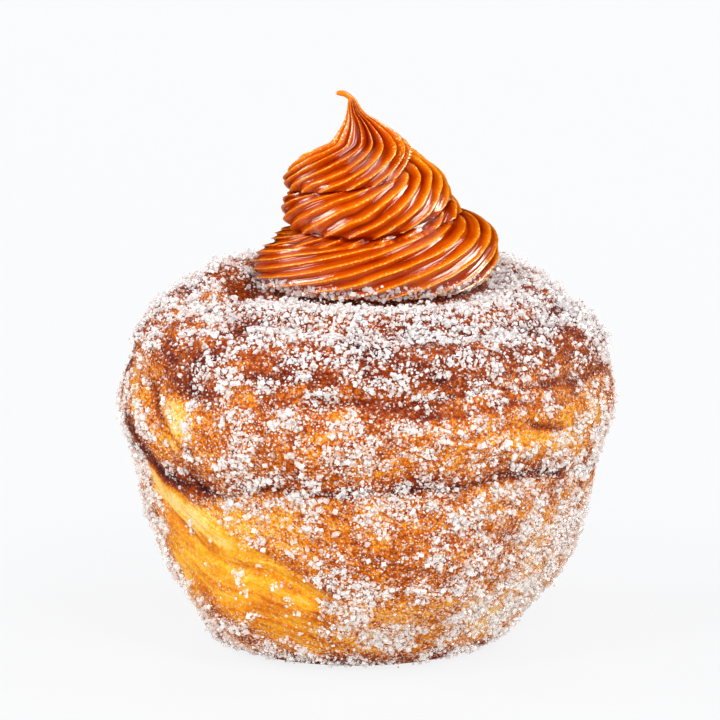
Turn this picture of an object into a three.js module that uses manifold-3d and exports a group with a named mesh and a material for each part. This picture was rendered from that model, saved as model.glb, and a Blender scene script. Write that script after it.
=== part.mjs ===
// A cruffin: a coil of laminated dough baked in a muffin cup and rolled in coarse sugar,
// with a ridged swirl of caramel cream piped on its top.
// Millimetres, +Z up, the front towards -Y, the origin at the middle of the flat base.
// Turns and degrees round the axis count from the front, anticlockwise seen from above.
import * as THREE from "three";
import { ParametricGeometry } from "three/addons/geometries/ParametricGeometry.js";
import { mergeVertices } from "three/addons/utils/BufferGeometryUtils.js";
import Module from "manifold-3d";

const { lerp, smoothstep, euclideanModulo, degToRad, seededRandom } = THREE.MathUtils;

// Pastry: the flat foot, the seam left by the cup's rim, the widest line and the flat middle of the
// top where the swirl sits.
const FOOT_RADIUS = 20;
const SEAM = { radius: 35.1, height: 30 };
const WIDEST = { radius: 38.4, height: 37 };
const SEAT = { radius: 21.5, height: 56.7, fade: 5 };
const PASTRY_SLICES = 80;
const PASTRY_STACKS = 34;

// Creases where a fold of dough tucks under its neighbour, each from one [degrees, height] to another.
const FOLD_WIDTH = 2.2;
const FOLDS = [
  { from: [-12, 43.5], to: [66, 44.5], depth: 1.4 },
  { from: [118, 45], to: [196, 43.5], depth: 1.3 },
  { from: [214, 44], to: [282, 45], depth: 1.2 },
  { from: [-50, 52], to: [-62, 41], depth: 1.4 },
  { from: [-62, 41], to: [-42, 29], depth: 1.4 },
  { from: [-62, 23], to: [-18, 14], depth: 1.1 },
  { from: [28, 38], to: [74, 36], depth: 1.1 },
  { from: [22, 24], to: [64, 14], depth: 0.9 },
  { from: [98, 50], to: [126, 33], depth: 1.2 },
  { from: [84, 25], to: [124, 13], depth: 1.1 },
  { from: [150, 39], to: [202, 36], depth: 1.1 },
  { from: [158, 24], to: [200, 13], depth: 1.0 },
  { from: [208, 51], to: [238, 33], depth: 1.3 },
  { from: [230, 24], to: [272, 13], depth: 1.0 },
];

// Coil of dough that shows on the dome as a spiral crease.
const COIL = { radius: 19.6, pitch: 10, turns: 3, depth: 1.8, width: 1.9, edge: 47, fade: 4 };

// Slow unevenness of the baked dough: waves round the pastry and up it, and the rise and fall of
// its seam.
const SWELLS = [
  { round: 2, up: 0.05, phase: 0.6, size: 0.35 },
  { round: 3, up: -0.09, phase: 2.1, size: 0.35 },
  { round: 5, up: 0.16, phase: 4.0, size: 0.25 },
];
const SEAM_SWAY = { round: 3, phase: 0.9, size: 0.8 };
const FOOT_FADE = 5;

// Largest lumps of the sugar coat.
const SUGAR = { count: 76, small: 1.0, large: 1.8, sunk: 0.3, lowest: 4, clearOfSwirl: 24, seed: 7 };

// Swirl: a rope of cream that coils inwards and is then lifted to a hooked tip. Stations of its turns:
// turns, distance from the axis, height, half thickness and sideways lean of the axis.
const ROPE_STATIONS = [
  [-1.2, 17.0, 54.4, 0.0, 2.0],
  [-0.75, 15.4, 57.0, 0.0, 2.0],
  [-0.25, 13.9, 59.3, 5.9, 2.0],
  [0.25, 12.7, 61.4, 5.8, 1.9],
  [0.75, 11.1, 63.6, 5.5, 1.3],
  [1.25, 9.2, 66.0, 5.2, 0.5],
  [1.75, 8.0, 68.4, 5.0, -0.1],
  [2.25, 6.8, 70.9, 4.9, -0.9],
  [2.75, 6.0, 73.6, 4.8, -1.6],
  [3.2, 4.4, 75.4, 4.7, -1.4],
  [3.6, 2.6, 76.4, 4.6, -0.4],
];

// Peak drawn up from the last turn: turns, radius, height and lean.
const PEAK_STATIONS = [
  [2.9, 9.2, 76.0, -1.6],
  [3.2, 7.5, 77.4, -1.1],
  [3.4, 5.7, 78.5, -0.2],
  [3.55, 4.25, 80.0, -0.3],
  [3.68, 2.5, 81.7, -1.0],
  [3.77, 1.4, 82.9, -1.8],
  [3.86, 0.75, 84.5, -2.25],
  [3.92, 0.45, 85.5, -2.7],
  [3.96, 0.34, 86.1, -3.4],
  [4.0, 0.0, 86.5, -4.5],
];
const LIFT = { first: 2.95, last: 3.4 };
const TIP_LEVEL = 4.0;

// Rise of the coil for each millimetre to the right, reached a little above its seat.
const TILT = { rise: 0.065, from: 57, to: 63 };

// Ridges cut by the nozzle's teeth, their depth as a share of the rope's half thickness, and how far
// round the axis they lean for each turn that they climb, up to the peak.
const RIDGES = 24;
const RIDGE_DEPTH = 0.15;
const RIDGE_LEAN = 0.165;
const SWIRL_STACKS = 56;
const COIL_SHARE = 0.78;
const LEVEL_STEP = 0.01;
const SEAT_GAP = 0.3;

const WELD = 1e-4;
const SLIVER = 0.03;
const wasm = await Module();
wasm.setup();

// Point at a distance from the axis, some degrees round from the front.
function aroundAxis(radius, degrees, height, target = new THREE.Vector3()) {
  const angle = degToRad(degrees);
  return target.set(radius * Math.sin(angle), -radius * Math.cos(angle), height);
}

// Closed three.js geometry as a solid, with its seams welded and collapsed triangles dropped.
function solidOf(geometry) {
  const bare = new THREE.BufferGeometry().setIndex(geometry.index);
  bare.setAttribute("position", geometry.getAttribute("position"));
  const welded = mergeVertices(bare, WELD);
  const corners = Array.from(welded.index.array);
  const triangles = [];
  for (let i = 0; i < corners.length; i += 3) {
    const triangle = corners.slice(i, i + 3);
    if (new Set(triangle).size === 3) triangles.push(...triangle);
  }
  const vertProperties = welded.getAttribute("position").array;
  return new wasm.Manifold(
    new wasm.Mesh({ numProp: 3, vertProperties, triVerts: new Uint32Array(triangles) }),
  );
}

// Named mesh of a solid.
function meshOf(name, solid, material) {
  const { vertProperties, triVerts } = solid.getMesh();
  const geometry = new THREE.BufferGeometry();
  geometry.setAttribute("position", new THREE.BufferAttribute(vertProperties, 3));
  geometry.setIndex(new THREE.BufferAttribute(triVerts, 1));
  geometry.computeVertexNormals();
  const mesh = new THREE.Mesh(geometry, material);
  mesh.name = name;
  return mesh;
}

// Outline of the pastry, from the middle of its foot up the wall to the middle of its top.
// The seam is a notch in it.
const outline = new THREE.SplineCurve(
  [
    [0, 0],
    [FOOT_RADIUS - 3, 0],
    [FOOT_RADIUS, 0],
    [FOOT_RADIUS + 3.2, 1.6],
    [25.9, 5.4],
    [30, 11.5],
    [33, 18.5],
    [34.9, 25],
    [SEAM.radius + 0.9, SEAM.height - 1.5],
    [SEAM.radius, SEAM.height],
    [SEAM.radius + 2.2, SEAM.height + 1.7],
    [WIDEST.radius, WIDEST.height],
    [37.4, 43],
    [35.8, 48.8],
    [31.5, 53.4],
    [26.5, SEAT.height - 0.3],
    [SEAT.radius, SEAT.height],
    [0, SEAT.height],
  ].map(([radius, height]) => new THREE.Vector2(radius, height)),
);

// Depth of a rounded groove at some distance from its middle line.
function groove(distance, depth, width) {
  return depth * Math.exp(-((distance / width) ** 2));
}

// Depth of one fold's crease at a place on the wall, measured on the wall unrolled at its widest.
function foldDepth({ from, to, depth }, degrees, height) {
  const perDegree = degToRad(WIDEST.radius);
  const middle = (from[0] + to[0]) / 2;
  const nearby = middle + euclideanModulo(degrees - middle + 180, 360) - 180;
  const start = new THREE.Vector3(from[0] * perDegree, from[1], 0);
  const end = new THREE.Vector3(to[0] * perDegree, to[1], 0);
  const place = new THREE.Vector3(nearby * perDegree, height, 0);
  const nearest = new THREE.Line3(start, end).closestPointToPoint(place, true, new THREE.Vector3());
  return groove(place.distanceTo(nearest), depth, FOLD_WIDTH);
}

// Depth of the coil's spiral crease at a place on the dome.
function coilDepth(degrees, radius, height) {
  let deepest = 0;
  for (let turn = -1; turn < COIL.turns; turn++) {
    const creaseRadius = COIL.radius + COIL.pitch * (degrees / 360 + turn);
    deepest = Math.max(deepest, groove(radius - creaseRadius, COIL.depth, COIL.width));
  }
  return deepest * smoothstep(height, COIL.edge, COIL.edge + COIL.fade);
}

// Height of the pastry's relief over its outline.
function relief(degrees, radius, height) {
  let raised = -coilDepth(degrees, radius, height);
  for (const fold of FOLDS) raised -= foldDepth(fold, degrees, height);
  for (const { round, up, phase, size } of SWELLS) {
    raised += size * Math.sin(round * degToRad(degrees) + up * height + phase);
  }
  return raised;
}

// Point of the pastry's surface, u of the way round from the back and v of the way along the outline.
// The foot and the swirl's seat stay flat.
function pastrySurface(u, v, target) {
  const degrees = 360 * u - 180;
  const { x, y: height } = outline.getPoint(v);
  const along = outline.getTangent(v);
  const radius = Math.max(x, 0);
  const shown = smoothstep(height, 0, FOOT_FADE) * smoothstep(radius, SEAT.radius, SEAT.radius + SEAT.fade);
  const raised = shown * relief(degrees, radius, height);
  const swayed = shown * SEAM_SWAY.size * Math.sin(SEAM_SWAY.round * degToRad(degrees) + SEAM_SWAY.phase);
  const level = Math.max(height - raised * along.x + swayed, 0);
  return aroundAxis(radius + raised * along.y, degrees, level, target);
}

// Lumps of sugar half sunk in the pastry, spread over it outside the swirl's seat.
function sugarLumps() {
  const goldenShare = (Math.sqrt(5) - 1) / 2;
  const draw = (low, high) => lerp(low, high, seededRandom());
  const lumps = [];
  seededRandom(SUGAR.seed);
  for (let tried = 0; lumps.length < SUGAR.count; tried++) {
    const place = pastrySurface((tried * goldenShare) % 1, seededRandom(), new THREE.Vector3());
    const radius = Math.hypot(place.x, place.y);
    const thinned = radius < WIDEST.radius * seededRandom();
    const bySwirl = place.z > WIDEST.height && radius < SUGAR.clearOfSwirl;
    if (thinned || bySwirl || place.z < SUGAR.lowest) continue;
    const size = draw(SUGAR.small, SUGAR.large);
    const inward = new THREE.Vector3(0, 0, SEAM.height).sub(place).setLength(SUGAR.sunk * size);
    const shape = new THREE.IcosahedronGeometry(size, 0);
    shape.scale(draw(0.8, 1.2), draw(0.8, 1.2), draw(0.8, 1.2));
    shape.rotateX(draw(0, Math.PI));
    shape.rotateZ(draw(0, Math.PI));
    shape.translate(place.x + inward.x, place.y + inward.y, place.z + inward.z);
    lumps.push(solidOf(shape));
  }
  return lumps;
}

// Pastry with its lumps of sugar, without the slivers left where they cross.
function sugaredPastry() {
  const body = solidOf(new ParametricGeometry(pastrySurface, PASTRY_SLICES, PASTRY_STACKS));
  return sugarLumps().reduce((joined, lump) => joined.add(lump), body).simplify(SLIVER);
}

// Stations joined smoothly, as a function of the turns.
function joined(stations) {
  const turnsAt = stations.map(([turns]) => turns);
  const values = stations.flatMap(([, ...rest]) => rest);
  const keys = new THREE.CubicInterpolant(turnsAt, values, stations[0].length - 1);
  return (turns) => Array.from(keys.evaluate(turns));
}

const ropeAt = joined(ROPE_STATIONS);
const peakAt = joined(PEAK_STATIONS);

// Radius, height and lean of the coil's wall at a level, in turns up the coil, and a bearing in turns.
// The wall is the outermost of the turns of rope there.
function coilWall(level, bearing, ridge) {
  const [radius, height, , lean] = ropeAt(level);
  const [radiusBelow, heightBelow] = ropeAt(level - LEVEL_STEP);
  const slope = new THREE.Vector2(radius - radiusBelow, height - heightBelow).divideScalar(LEVEL_STEP);
  const pitch = slope.length();
  const turnsBelow = Math.floor(level - bearing) + bearing;
  const bulges = [turnsBelow, turnsBelow + 1].map((turns) => {
    const [, , half] = ropeAt(turns);
    return Math.sqrt(Math.max(half ** 2 - (pitch * (level - turns)) ** 2, 0));
  });
  const bulge = (ridge * Math.max(...bulges)) / pitch;
  return [radius + bulge * slope.y, height - bulge * slope.x, lean];
}

// Radius, height and lean of the swirl's wall: the coil's, passing into the peak's where it is lifted.
function swirlWall(level, bearing, ridge) {
  const coil = coilWall(Math.min(level, LIFT.last), bearing, ridge);
  const [radius, height, lean] = peakAt(level);
  const lifted = smoothstep(level, LIFT.first, LIFT.last);
  return [ridge * radius, height, lean].map((value, i) => lerp(coil[i], value, lifted));
}

// Bearing of a ridge at a level. It leans as it climbs the coil and runs straight up the peak.
function ridgeBearing(start, level) {
  return start + RIDGE_LEAN * Math.min(level, LIFT.last);
}

// Level at which the swirl's wall meets its seat, on the way down one ridge.
function footLevel(start, ridge) {
  let [low] = ROPE_STATIONS[0];
  let high = LIFT.first;
  while (high - low > LEVEL_STEP / 100) {
    const middle = (low + high) / 2;
    const [, height] = swirlWall(middle, ridgeBearing(start, middle), ridge);
    if (height < SEAT.height + SEAT_GAP) low = middle;
    else high = middle;
  }
  return high;
}

// Point of the swirl's surface, u of the way round and v of the way from the middle of its flat
// underside, out to the foot and up the ridges to the tip.
function swirlSurface(u, v, target) {
  const ridge = 1 - RIDGE_DEPTH * (1 - Math.abs(Math.cos(Math.PI * RIDGES * u)));
  const row = Math.round(v * SWIRL_STACKS) - 1;
  const foot = footLevel(u, ridge);
  const climbed = Math.max(row, 0) / (SWIRL_STACKS - 1);
  const inCoil = Math.min(climbed / COIL_SHARE, 1);
  const inPeak = Math.max(climbed - COIL_SHARE, 0) / (1 - COIL_SHARE);
  const level = lerp(lerp(foot, LIFT.last, inCoil), TIP_LEVEL, inPeak);
  const bearing = ridgeBearing(u, level);
  const [radius, height, lean] = swirlWall(level, bearing, ridge);
  aroundAxis(row < 0 ? 0 : radius, 360 * bearing, row < 1 ? SEAT.height + SEAT_GAP : height, target);
  target.x += lean;
  target.z += TILT.rise * target.x * smoothstep(target.z, TILT.from, TILT.to) * (1 - inPeak);
  return target;
}

const crust = new THREE.MeshStandardMaterial({ color: 0xc9782c, roughness: 0.6, metalness: 0 });
const caramel = new THREE.MeshStandardMaterial({ color: 0xb8560e, roughness: 0.25, metalness: 0 });
const swirl = solidOf(new ParametricGeometry(swirlSurface, 2 * RIDGES, SWIRL_STACKS));

const cruffin = new THREE.Group();
cruffin.add(meshOf("pastry", sugaredPastry(), crust), meshOf("caramel_swirl", swirl, caramel));

export default cruffin;
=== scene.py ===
"""A cruffin rolled in coarse sugar, with a ridged swirl of caramel cream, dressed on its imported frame.

Shapes are worked out in millimetres, +Z up, front towards -Y, and meshes are made in metres.
Degrees and turns round the axis count from the front, anticlockwise seen from above.
A pair of heights, radii or levels is where a change starts and where it is complete.
"""

import math
from types import SimpleNamespace

import bpy
import numpy as np
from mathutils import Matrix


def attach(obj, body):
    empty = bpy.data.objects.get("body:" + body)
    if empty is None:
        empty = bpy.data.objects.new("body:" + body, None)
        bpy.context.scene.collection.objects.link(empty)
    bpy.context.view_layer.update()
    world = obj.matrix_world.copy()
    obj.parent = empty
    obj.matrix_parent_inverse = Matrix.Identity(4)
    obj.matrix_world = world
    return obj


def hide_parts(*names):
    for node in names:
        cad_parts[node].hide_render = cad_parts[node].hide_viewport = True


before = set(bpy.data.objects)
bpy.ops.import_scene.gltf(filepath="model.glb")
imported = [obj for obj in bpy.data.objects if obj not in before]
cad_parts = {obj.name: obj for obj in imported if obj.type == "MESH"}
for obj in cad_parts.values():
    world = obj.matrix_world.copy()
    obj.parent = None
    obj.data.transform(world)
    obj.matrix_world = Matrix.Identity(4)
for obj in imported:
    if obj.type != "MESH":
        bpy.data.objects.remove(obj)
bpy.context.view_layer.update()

MM = 0.001
BODY = "root"
FULL_TURN = 2 * math.pi

# Noise tables: size of the features, seed and layers of each kind
NOISE_TABLE, NOISE_SHIFT = 4096, 137.0
HASHES = (73856093, 19349663, 83492791)
NOISES = {
    "sway": (7, 29, 3), "wobble": (7, 31, 3), "warp": (11, 5, 3), "fine_warp": (4, 6, 3),
    "calm": (9, 8, 3), "lumps": (5.5, 12, 4), "ragged": (3, 33, 3), "wide_ragged": (8, 36, 3),
    "mottle": (9, 41, 3), "fleck": (3, 44, 3), "char": (2.2, 38, 3), "seam": (6, 47, 3),
    "clump": (2.7, 61, 3), "coat": (2.4, 69, 3), "wander": (7, 71, 3), "bumps": (4.5, 75, 3),
    "crease": (12, 78, 3), "streak": (1.0, 83, 2),
}

# Pastry outline, as radius and height, and how far its wall leans sideways at some heights
SEAM_HEIGHT = 30.0
WIDEST_RADIUS = 38.4
SEAT_RADIUS, SEAT_HEIGHT = 21.5, 56.7
OUTLINE = np.array([
    (0, 0), (16.4, 0), (19.4, 0), (22.8, 1.5), (26.6, 5.4), (31.2, 11.5), (34, 18.5), (35.4, 25),
    (36.1, 28.5), (36.5, 30), (37.1, 31.7), (38.4, 37), (37.4, 43), (35.8, 48.8), (31.5, 53.4),
    (26.5, 56.4), (21.5, 56.7), (0, 56.7),
])
WALL_LEANS = np.array([
    (0, -1.7), (7, -1.7), (12, -0.9), (18, -0.3), (26, 0), (34, 0), (39.5, 0.6), (46, 0), (60, 0),
])
COLUMNS, ROWS = 480, 204
SAMPLES, SLOPE_STEP = 6000, 1e-4
HIDDEN_FOOT, HIDDEN_TOP = 18.5, 14
HIDDEN_ROWS, ROW_MARGIN = 0.12, 0.004
ON_TOP = 50
SHOWN_HEIGHTS, SHOWN_RADII = (0, 5), (SEAT_RADIUS, SEAT_RADIUS + 5)
SMALL_HEIGHTS, SMALL_RADII = (0, 3), (19, 23)

# Folds: two ends, each in degrees and height, and the depth
FOLDS = [
    ((-12, 43.5), (66, 44.5), 1.4), ((118, 45), (196, 43.5), 1.3), ((214, 44), (282, 45), 1.2),
    ((-50, 52), (-62, 41), 1.4), ((-62, 41), (-42, 29), 1.4), ((-70, 26.4), (-8, 12.2), 1.1),
    ((28, 38), (74, 36), 1.1), ((22, 24), (64, 14), 0.9), ((98, 50), (126, 33), 1.2),
    ((84, 25), (124, 13), 1.1), ((150, 39), (202, 36), 1.1), ((158, 24), (200, 13), 1.0),
    ((208, 51), (238, 33), 1.3), ((230, 24), (272, 13), 1.0),
]
FOLD_WIDTH, FOLD_SHARE, DEEPEST_FOLD = 2.2, 0.45, 1.4
FOLD_WOBBLE, FOLD_ENDS = 0.9, (-0.01, 0.12)
CREASE_WIDTH, CREASE_DEPTH, CREASE_ENDS = 0.5, 0.3, 0.35

# Folds with a pale strip above them, and the share of each over which it widens
PALE_STRIPS = [(FOLDS[5], 0.08), (FOLDS[9], 0.5), (FOLDS[11], 0.45), (FOLDS[13], 0.55)]
STRIP_THICK, STRIP_THIN = 6.0, 2.0
STRIP_START, STRIP_END, STRIP_WIDENS = -0.02, (-0.02, 0.1), -0.15
STRIP_LOWER, STRIP_UPPER = (0.0, 0.5), (-0.6, 1.2)
BARE_BELOW, BARE_FADE, BARE_START = 0.3, (13, 7), (0.06, 0.24)

# Coil on top, swells of the wall, seam and the layers of the dough
COIL_RADIUS, COIL_PITCH, COIL_DEPTH, COIL_WIDTH = 19.6, 10.0, 1.8, 1.9
COIL_TURNS, COIL_HEIGHTS, COIL_SHARE = range(-1, 3), (47, 51), 0.8
SWELLS = [(2, 0.05, 0.6, 0.35), (3, -0.09, 2.1, 0.35), (5, 0.16, 4.0, 0.25)]
SWELL_HEIGHTS = (58, 48)
SWAY_ROUND, SWAY_PHASE, SWAY_SIZE = 3, 0.9, 0.8
SWAY_NOISE, SWAY_STRETCH, SWAY_HEIGHTS = 0.7, [1, 1, 0.2], (53, 42)
SEAM_RISES = [(-76, 2.4, 16), (-43, -1.0, 11), (-22, 0.8, 9), (46, 1.6, 22)]
SEAM_DEPTH, SEAM_WIDTH = 0.15, 0.85
LAYER_RISE, LAYER_THICK, LAYER_WARP, FINE_WARP = 80, 3.2, 1.6, 0.35
SHINGLE_SIZE, SHINGLE_CREST, SHINGLE_LEAST, SHINGLE_CALM = 0.3, 0.86, 0.25, 0.9
LUMP_SIZE = 0.34
BLISTERS, BLISTER_SEED, BLISTERS_AT = 70, 23, (4, 55)
BLISTER_WIDE, BLISTER_TALL = (1.0, 2.6), (0.15, 0.55)

# Dips beside the swirl: place and widths, then how deep each is
HOLLOW, SAG, SHOULDER = (-19.2, -4.6, 2.6, 4.6), (-18, -10, 5.5, 5.5), (-23, 3, 5, 5)
HOLLOW_DEPTH, SAG_DEPTH, SHOULDER_RISE, DIP_HEIGHTS = 1.7, 1.8, 1.9, (50, 54)
PIT_DEGREES, PIT_RADIUS, PIT_WIDE, PIT_LONG, PIT_DEPTH = -38.8, 30, 1.4 / 0.52, 1.4, 1.8
RING_DEPTH, RING_RADIUS, RING_WIDTH = 1.25, 18.3, 2.3
BACK_RISE, BACK_HEIGHTS, BACK_FROM, BACK_RADII = 1.6, (47, 55), (4, 24), (15, 21)
FRONT_DIP, FRONT_HEIGHTS, FRONT_FROM = 1.0, (51, 55.5), (5, 17)

# Toasted edges, browned crust with painted shade along them: width, how dark, how deep, and points round
# the wall
TOAST_AND_SHADE_LINES = [
    (2.2, 0.3, 0.0, (-90, 52), (-85, 48.5), (-85, 45.6), (-86, 42)),
    (0.8, 0.34, 0.5, (-63.4, 43.1), (-59.9, 41.1), (-56, 39.1), (-51.6, 36.5), (-49, 35), (-44.2, 35.1)),
    (2.0, 0.42, 0.35, (-74, 37), (-66.8, 33.7), (-61.3, 31.1), (-58.5, 29.9), (-51.8, 29.1), (-41.4, 28.7)),
    (1.6, 0.24, 0.1, (-52, 44.8), (-44, 44.2), (-38, 43.4)),
    (0.8, 0.14, 0.2, (-14, 45.2), (-5.3, 44.5), (-0.5, 43.7)),
    (1.3, 0.2, 0.3, (-0.5, 43.7), (12.7, 42.6), (32, 42.8)),
    (1.0, 0.16, 0.2, (32, 42.8), (48, 42.6), (60, 43.2)),
    (0.6, 0.26, 0.2, (45, 44.7), (62, 44.0), (80, 44.8)),
    (0.8, 0.3, 0.4, (47, 53.2), (55, 53.4), (63, 52.6), (70, 50.4), (75, 46.5)),
    (0.7, 0.3, 0.4, (38, 40.2), (42, 38.8), (50, 37.9)),
    (1.0, 0.26, 0.3, (-6.2, 53.3), (0, 51.9), (7.5, 51.4)),
    (1.0, 0.2, 0.2, (-58, 50), (-52, 47.5), (-40, 48.5)),
    (0.9, 0.2, 0.2, (-30, 47.5), (-18, 48.2), (-8, 47.6)),
    (0.8, 0.12, 0.2, (14, 47.4), (26, 47), (40, 48)),
    (1.3, 0.28, 0.3, (118, 45), (150, 43.6), (196, 43.5)),
    (1.3, 0.26, 0.3, (214, 44), (250, 43.4), (282, 45)),
    (1.2, 0.28, 0.4, (98, 50), (112, 43), (126, 33)),
    (0.8, 0.26, 0.4, (150, 39), (176, 36.6), (202, 36)),
    (1.3, 0.3, 0.4, (208, 51), (222, 43), (238, 33)),
    (1.0, 0.24, 0.3, (130, 52), (160, 50), (190, 51.5)),
]
TOAST_EDGE, RAGGED = 0.7, 0.5

# Tone of the crust, from cream at 0 to burnt at 1; higher tone also paints shade into creases, edges, the
# hollow, the pit and the foot. Patches: degrees, height, two widths and an amount
TONE_PATCHES = [
    (-49, 38.5, 5, 4, -0.34), (50, 6, 6, 4, -0.26), (3, 18, 18, 6.5, 0.06), (-72, 40, 12, 7, -0.14),
    (5, 8, 16, 6, -0.08), (70, 15, 26, 12, -0.08), (48, 38, 24, 4.5, -0.26), (-60, 48, 26, 8, -0.08),
    (60, 49.3, 12, 4, -0.12), (-36, 24.5, 15, 4, -0.24), (150, 10, 30, 8, -0.16), (230, 36, 24, 6, -0.2),
    (150, 38, 24, 5, -0.2),
]
USUAL_TONE, MOTTLE_TONE, FLECK_TONE = 0.38, 0.15, 0.13
BAND_TONE, BAND_HEIGHTS, TOP_TONE, TOP_HEIGHTS = 0.04, (24, 32), 0.15, (41, 49)
BARE_TONE, BARE_CALM, BARE_HEIGHTS, BARE_SHARE = 0.16, 0.2, (16, 4), 0.9
STRIP_TONES, STRIP_CALM, STRIP_SHARE = (-0.14, 0.16), 0.06, 0.97
# Painted shade: fold and coil creases, hollow, pit and layer steps; toasted edges, seam and foot are
# browned crust and painted shade
CREASE_SHADE_TONE, COIL_SHADE_TONE, TOAST_SHADE_TONE, TOAST_CHAR = 0.16, 0.05, 0.85, 0.8
SEAM_SHADE_TONE, SEAM_RAGGED, SEAM_OVER, SEAM_UNDER = 0.38, 0.6, 1.7, 0.8
SEAM_USUAL, SEAM_MOTTLE, SEAM_LIMITS = 0.6, 1.2, (0.05, 1.2)
HOLLOW_SHADE_TONE, HOLLOW_SHADE_SHARE, PIT_SHADE_TONE = 0.64, 1.4, 0.5
FOOT_SHADE_TONE, FOOT_HEIGHTS = 0.3, (4, 1)
STEP_SHADE_TONE, STEP_AT, STEP_WIDTH = 0.1, 0.93, 0.06
TONE_LIMITS = (-0.15, 1)

# Sugar coat: patches as above for its cover and for the frost of finest grains
SUGAR_PATCHES = [
    (5, 56.5, 60, 4, 0.3), (-14, 56.4, 26, 2.2, 0.35), (-58, 47, 26, 8, -0.3), (-85, 47, 8, 5.5, -0.5),
    (-66, 47.5, 4, 4.5, 0.4), (60, 49.3, 11, 3.4, -0.5), (-115, 56.5, 30, 4, -0.3), (42, 38, 26, 4, -0.14),
    (-20, 38, 28, 5, 0.2), (60, 14, 36, 12, 0.28), (11, 6, 10, 4, 0.4), (-3, 12, 6, 3, 0.3),
    (2, 20, 20, 6, -0.2), (32, 29, 34, 1.6, 0.3), (-35, 28, 9, 1.4, 0.5), (-84, 20, 18, 17, 0.36),
    (150, 20, 40, 9, 0.2), (230, 10, 30, 8, -0.25), (180, 55, 80, 5, -0.1), (150, 40, 26, 4, -0.15),
    (-130, 44, 20, 6, -0.15),
]
FROST_PATCHES = [(62, 15, 34, 12, 0.34), (-78, 16, 14, 12, 0.4), (-60, 5, 30, 5, 0.2)]
COVER_LOW, COVER_TOP, COVER_HEIGHTS, COVER_LIMITS = 0.39, 0.68, (43, 49), (0.015, 0.96)
COVER_BARED, COVER_ON_TOAST_SHADE, BARED_STRIP = 0.85, 1.3, 1.1
KEPT_HOLLOW, KEPT_PIT, PIT_POWER, KEPT_HEIGHTS = 1.3, 1.6, 0.45, (0.3, 1.6)
CLUMP_STRETCH, CLUMP_EDGE = [1, 1, 1.35], (-0.1, 0.1)
COAT_LEAST, COAT_COVER, COAT_NOISE, COAT_LIMITS = 0.3, 0.7, 0.4, (0.05, 1)
COAT_BARED, COAT_ON_TOAST_SHADE, COAT_LEFT = 0.88, 1.6, (0.2, 1)
FROST_HEIGHTS, FROST_COAT, FROST_CLUMP, FROST_MOST = (42, 50), (0.3, 0.14), (0.25, 0.05), 0.75

# Swirl rope: turns, radius of its middle, height and half of its thickness
ROPE = np.array([
    (-1.2, 17.2, 54.5, 0), (-0.75, 16.6, 56.6, 0), (-0.25, 15.8, 59.4, 4.3), (0, 14.8, 59.9, 4.4),
    (0.25, 13.5, 61.3, 5), (0.75, 13.9, 62.3, 2.9), (1, 9.6, 63.4, 3.9), (1.25, 9.5, 65.9, 5),
    (1.75, 9, 67.9, 4.1), (2, 9.5, 67.8, 4.7), (2.25, 9.2, 70.1, 4.5), (2.75, 7.2, 73.6, 4.4),
    (3, 6.5, 74.2, 4.5), (3.2, 5.3, 75.4, 4.1), (3.6, 4, 76.4, 3.8),
])
ROPE_TURNS, ROPE_TOP, ROPE_END, THINNEST = 5, 75.9, 0.05, 1e-3
# Height and sideways lean of the swirl
LEANS = np.array([
    (57, 2), (61, 2), (63.5, 1.5), (66, 0.4), (68.5, -0.2), (70.5, -0.9), (74, -1.6),
    (75.6, -1.5), (76.4, -0.9),
])
# Swirl peak: level, radius, height and sideways lean
PEAK = np.array([
    (2.9, 9.2, 76, -1.6), (3.2, 8.2, 77.3, -1.2), (3.4, 5.7, 78.5, -0.2), (3.55, 4.25, 80, -0.3),
    (3.68, 2.5, 81.7, -1), (3.77, 1.4, 82.9, -1.8), (3.86, 0.75, 84.5, -2.25),
    (3.92, 0.52, 85.2, -2.75), (3.96, 0.46, 85.7, -3.6), (4, 0, 85.8, -4.9),
])
PEAK_DEPTH = 0.3
FOOT_LEVEL, LIFT_FIRST, LIFT_LAST, TIP_LEVEL = -0.8, 2.8, 3.42, 4.0
LIFTED_TURN = 0.9
SWIRL_FOOT, SWIRL_MIDDLE, SWIRL_END = 56.3, 2.0, (-4.95, 0, 85.8)
SWIRL_COLUMNS, SWIRL_ROWS, TIP_ROWS = 620, 156, 18
TILT_RISE, TILT_HEIGHTS, TILT_LEVELS = 0.075, (57.0, 63.0), (3.7, LIFT_LAST)
TIP_START, TIP_ALONE, TIP_ROUND, TIP_RADIUS = 3.86, 3.93, 3.965, 0.44
SQUARE_LEVELS, FADE_LEVELS = (3.82, 3.93), (TIP_LEVEL, 3.5)
RIDGE_LEAN, RIDGES_ACROSS = 0.165, 14
RIDGES_LOW, RIDGES_HIGH, RIDGES_TO = 14, 17, 2.3
RIDGE_SHARE, RIDGE_POWER, FINE_RIDGES, FURROW_DEPTH = 0.9, 1.8, 3, 0.816
SWIRL_CREASE, CREASE_USUAL, CREASE_VARIES = 0.45, 0.3, 0.2
NOISE_RADIUS, NOISE_RISE = 14, 6
WANDER_SIZE, BUMP_SIZE, STREAK_SIZE = 2.0, 0.14, 0.09
STREAK_PHASE, STREAK_ROUND, STREAK_LEVEL = 4.5, 5.0, 2.0
PEAK_DARK, DARK_LEVELS, TIP_PALE, PALE_LEVELS = 0.3, (3.1, 3.5), 0.9, (3.84, 3.93)


# Helpers
def ease(x, low, high):
    """Smooth step from 0 at low to 1 at high, whichever is the larger."""
    t = np.clip((x - low) / (high - low), 0, 1)
    return t * t * (3 - 2 * t)


def lerp(a, b, t):
    return a + (b - a) * t


def bell(away, width):
    return np.exp(-((away / width) ** 2))


def oval(x, y, across, tall):
    return np.exp(-((x / across) ** 2) - (y / tall) ** 2)


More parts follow.
